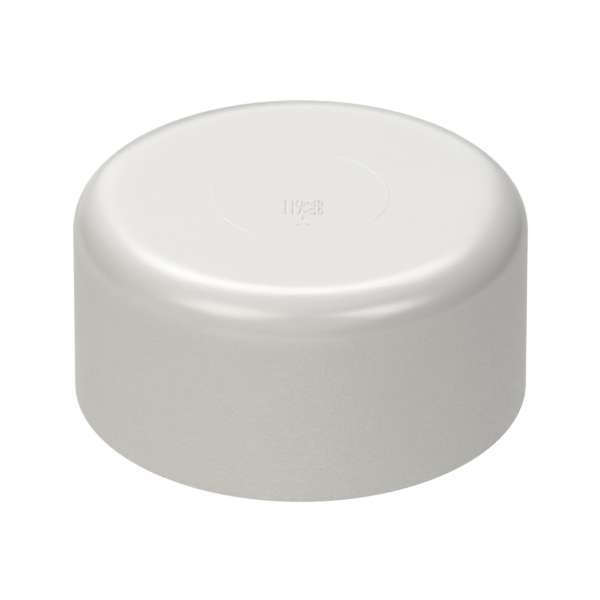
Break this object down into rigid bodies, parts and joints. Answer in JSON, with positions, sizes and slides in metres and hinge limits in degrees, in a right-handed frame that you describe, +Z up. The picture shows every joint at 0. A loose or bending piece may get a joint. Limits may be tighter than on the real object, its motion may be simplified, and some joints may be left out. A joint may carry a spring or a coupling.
{
  "type": "pipe cap",
  "caption": "Moulded plastic pipe end cap: a short drum with a flat closed end, a rounded shoulder, fine raised size marks, and a plain socket with a pipe stop at its mouth end.",
  "frame": {"origin": "centre of the socket's mouth, in the plane of the rim that the cap stands on", "axes": "+Z up the socket's axis to the closed end; -Y is the side from which the raised size marks read upright"},
  "size_m": [0.1176, 0.1176, 0.056],
  "materials": {
    "moulded_pvc": "off-white moulded PVC-U: fine spark-eroded grain on the skirt, satin top, smoother shoulder"
  },
  "bodies": {
    "root": {"end_cap": "moulded_pvc"}
  },
  "joints": []
}
